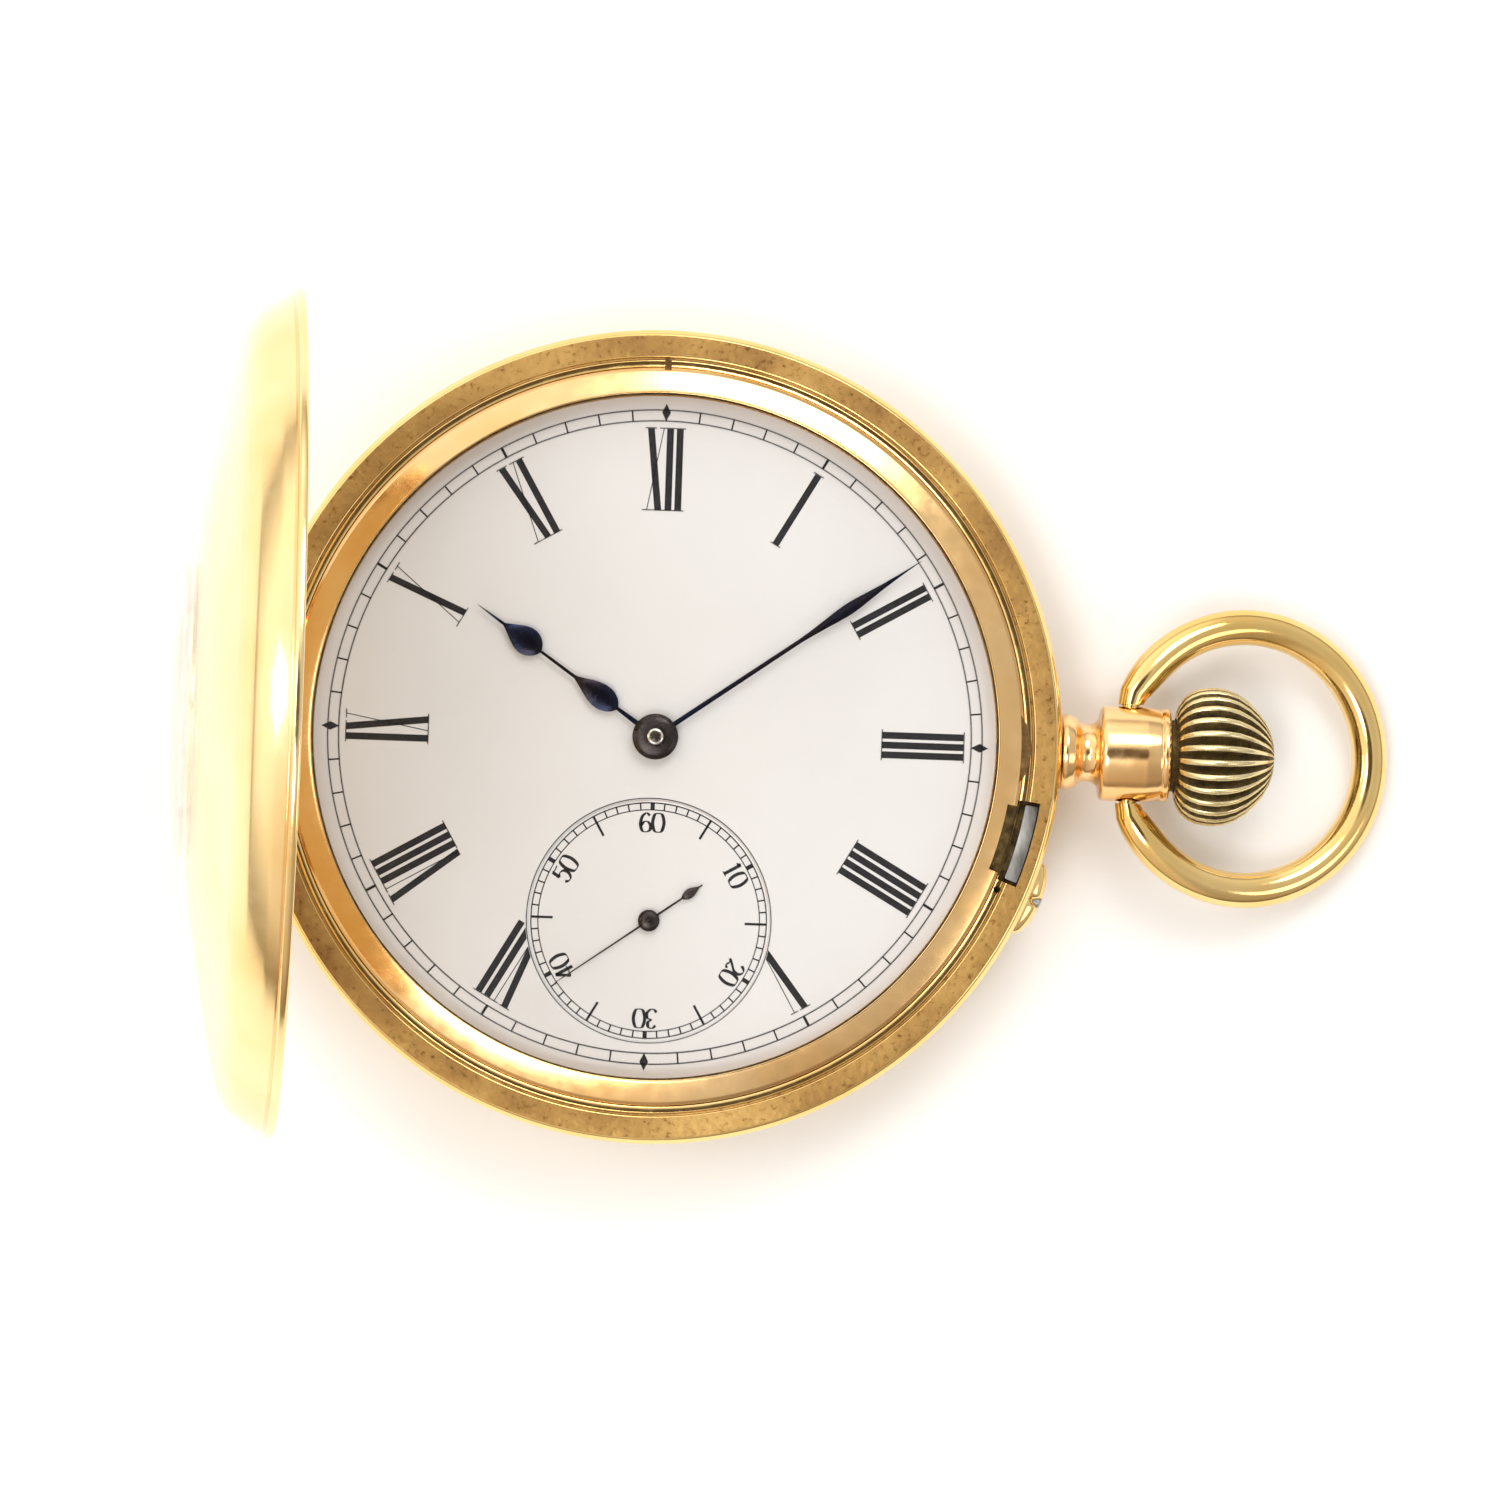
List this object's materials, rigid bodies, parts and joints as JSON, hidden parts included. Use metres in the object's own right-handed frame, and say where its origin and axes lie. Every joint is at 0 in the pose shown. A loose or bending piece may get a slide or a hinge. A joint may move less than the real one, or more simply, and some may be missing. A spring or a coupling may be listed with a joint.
{
  "type": "pocket watch",
  "caption": "Half-hunter pocket watch: round case lying on its back, hinged front cover with a centre window standing open, white dial, crown and swinging bow.",
  "frame": {"origin": "centre of the back cover's flat resting face", "axes": "+X to the pendant at 3 o'clock, +Y to 12 o'clock, +Z out of the dial"},
  "size_m": [0.0744, 0.05, 0.0558],
  "materials": {
    "gold": "polished and matte yellow gold",
    "rose_gold": "polished warm gold",
    "gilt_brass": "gilt, fine grained",
    "steel": "polished steel",
    "blued_steel": "heat-blued, polished",
    "enamel": "white vitreous enamel",
    "glass": "clear, polished"
  },
  "bodies": {
    "case": {"case_middle": "gold", "bezel": "rose_gold", "crystal": "glass", "pendant": "rose_gold", "front_hinge_pin": "steel", "back_hinge_pin": "steel", "cuvette_hinge_pin": "steel", "push_guard": "gold", "dial": "enamel", "main_plate": "gilt_brass", "barrel_bridge": "gilt_brass", "train_bridge": "gilt_brass", "pallet_bridge": "gilt_brass", "balance_cock": "gilt_brass", "barrel_bridge_screw_1": "blued_steel", "barrel_bridge_screw_2": "blued_steel", "barrel_bridge_screw_3": "blued_steel", "train_bridge_screw_1": "blued_steel", "train_bridge_screw_2": "blued_steel", "pallet_bridge_screw": "blued_steel", "balance_cock_screw": "blued_steel"},
    "front_cover": {"front_cover": "gold", "cover_glass": "glass"},
    "back_cover": {"back_cover": "gold"},
    "cuvette": {"cuvette": "gold"},
    "bow": {"bow": "gold"},
    "catch": {"catch": "steel"},
    "push_piece": {"push_piece": "steel"},
    "push_sleeve": {"push_sleeve": "steel"},
    "crown": {"crown": "gold", "winding_stem": "steel"},
    "crown_wheel": {"crown_wheel": "steel"},
    "ratchet_wheel": {"ratchet_wheel": "steel"},
    "click": {"click": "steel"},
    "regulator": {"regulator": "steel"},
    "barrel": {"barrel": "gilt_brass"},
    "centre_wheel": {"centre_wheel": "gilt_brass"},
    "minute_hand": {"cannon_pinion": "steel", "minute_hand": "blued_steel"},
    "hour_hand": {"hour_wheel": "gilt_brass", "hour_hand": "blued_steel"},
    "minute_wheel": {"minute_wheel": "gilt_brass"},
    "third_wheel": {"third_wheel": "gilt_brass"},
    "seconds_hand": {"fourth_wheel": "gilt_brass", "seconds_hand": "blued_steel"},
    "escape_wheel": {"escape_wheel": "steel"},
    "pallet_lever": {"pallet_lever": "steel"},
    "balance": {"balance_wheel": "gilt_brass", "hairspring": "blued_steel"}
  },
  "joints": [
    {"name": "front_cover_hinge", "type": "hinge", "parent": "case", "child": "front_cover", "pos_m": [-0.02335, 0, 0.0076], "axis": [0, 1, 0], "range_deg": [0, 86], "stiffness_Nm_per_rad": 0.004, "springref_deg": -11.46},
    {"name": "back_cover_hinge", "type": "hinge", "parent": "case", "child": "back_cover", "pos_m": [-0.0232, 0, 0.0036], "axis": [0, 1, 0], "range_deg": [0, 95]},
    {"name": "cuvette_hinge", "type": "hinge", "parent": "case", "child": "cuvette", "pos_m": [-0.0219, 0, 0.0033], "axis": [0, 1, 0], "range_deg": [0, 57]},
    {"name": "bow_swing", "type": "hinge", "parent": "case", "child": "bow", "pos_m": [0.0293, 0, 0.0048], "axis": [0, 1, 0], "range_deg": [-115, 70]},
    {"name": "crown_push", "type": "slide", "parent": "case", "child": "push_sleeve", "axis": [-1, 0, 0], "range_m": [0, 0.0003], "stiffness_N_per_m": 1500},
    {"name": "crown_wind", "type": "hinge", "parent": "push_sleeve", "child": "crown", "pos_m": [0.035, 0, 0.0048], "axis": [1, 0, 0], "continuous": true},
    {"name": "catch_release", "type": "slide", "parent": "case", "child": "catch", "axis": [-0.969, 0.247, 0], "range_m": [0, 0.0003]},
    {"name": "push_piece_press", "type": "slide", "parent": "case", "child": "push_piece", "axis": [-0.9311, 0.3649, 0], "range_m": [0, 0.0008], "stiffness_N_per_m": 300},
    {"name": "crown_wheel_turn", "type": "hinge", "parent": "case", "child": "crown_wheel", "pos_m": [0.0108, 0, 0.0028], "axis": [0, 0, 1], "continuous": true},
    {"name": "ratchet_turn", "type": "hinge", "parent": "case", "child": "ratchet_wheel", "pos_m": [0.00205, 0.00764, 0.0028], "axis": [0, 0, 1], "continuous": true},
    {"name": "click_swing", "type": "hinge", "parent": "case", "child": "click", "pos_m": [-0.0073, 0.0099, 0.0018], "axis": [0, 0, -1], "range_deg": [0, 8], "stiffness_Nm_per_rad": 0.0001},
    {"name": "regulator_swing", "type": "hinge", "parent": "case", "child": "regulator", "pos_m": [-0.011, -0.005, 0.0018], "axis": [0, 0, -1], "range_deg": [-12, 12]},
    {"name": "seconds_turn", "type": "hinge", "parent": "case", "child": "seconds_hand", "pos_m": [0, -0.0113, 0.004], "axis": [0, 0, -1], "continuous": true},
    {"name": "third_turn", "type": "hinge", "parent": "case", "child": "third_wheel", "pos_m": [0.00449, -0.00619, 0.004], "axis": [0, 0, -1], "continuous": true},
    {"name": "centre_turn", "type": "hinge", "parent": "case", "child": "centre_wheel", "pos_m": [0, 0, 0.004], "axis": [0, 0, -1], "continuous": true},
    {"name": "barrel_turn", "type": "hinge", "parent": "case", "child": "barrel", "pos_m": [0.00205, 0.00764, 0.004], "axis": [0, 0, -1], "continuous": true},
    {"name": "minute_turn", "type": "hinge", "parent": "case", "child": "minute_hand", "pos_m": [0, 0, 0.006], "axis": [0, 0, -1], "continuous": true},
    {"name": "minute_wheel_turn", "type": "hinge", "parent": "case", "child": "minute_wheel", "pos_m": [-0.0018, 0.00214, 0.0056], "axis": [0, 0, -1], "continuous": true},
    {"name": "hour_turn", "type": "hinge", "parent": "case", "child": "hour_hand", "pos_m": [0, 0, 0.006], "axis": [0, 0, -1], "continuous": true},
    {"name": "escape_turn", "type": "hinge", "parent": "case", "child": "escape_wheel", "pos_m": [-0.0052, -0.0137, 0.004], "axis": [0, 0, -1], "continuous": true},
    {"name": "lever_rock", "type": "hinge", "parent": "case", "child": "pallet_lever", "pos_m": [-0.00698, -0.01104, 0.004], "axis": [0, 0, -1], "range_deg": [-5, 5]},
    {"name": "balance_swing", "type": "hinge", "parent": "case", "child": "balance", "pos_m": [-0.011, -0.005, 0.0035], "axis": [0, 0, -1], "range_deg": [-270, 270], "stiffness_Nm_per_rad": 0.00000066, "deforming": ["hairspring"]}
  ],
  "couplings": [
    {"joint": "catch_release", "follows": "crown_push", "ratio": 1},
    {"joint": "cuvette_hinge", "follows": "back_cover_hinge", "ratio": 0.6},
    {"joint": "crown_wheel_turn", "follows": "crown_wind", "ratio": 0.5},
    {"joint": "ratchet_turn", "follows": "crown_wind", "ratio": -0.38462},
    {"joint": "third_turn", "follows": "seconds_turn", "ratio": -0.13333},
    {"joint": "centre_turn", "follows": "seconds_turn", "ratio": 0.016667},
    {"joint": "barrel_turn", "follows": "seconds_turn", "ratio": -0.0020833},
    {"joint": "minute_turn", "follows": "seconds_turn", "ratio": 0.016667},
    {"joint": "minute_wheel_turn", "follows": "seconds_turn", "ratio": -0.0055556},
    {"joint": "hour_turn", "follows": "seconds_turn", "ratio": 0.0013889},
    {"joint": "escape_turn", "follows": "seconds_turn", "ratio": -10}
  ]
}
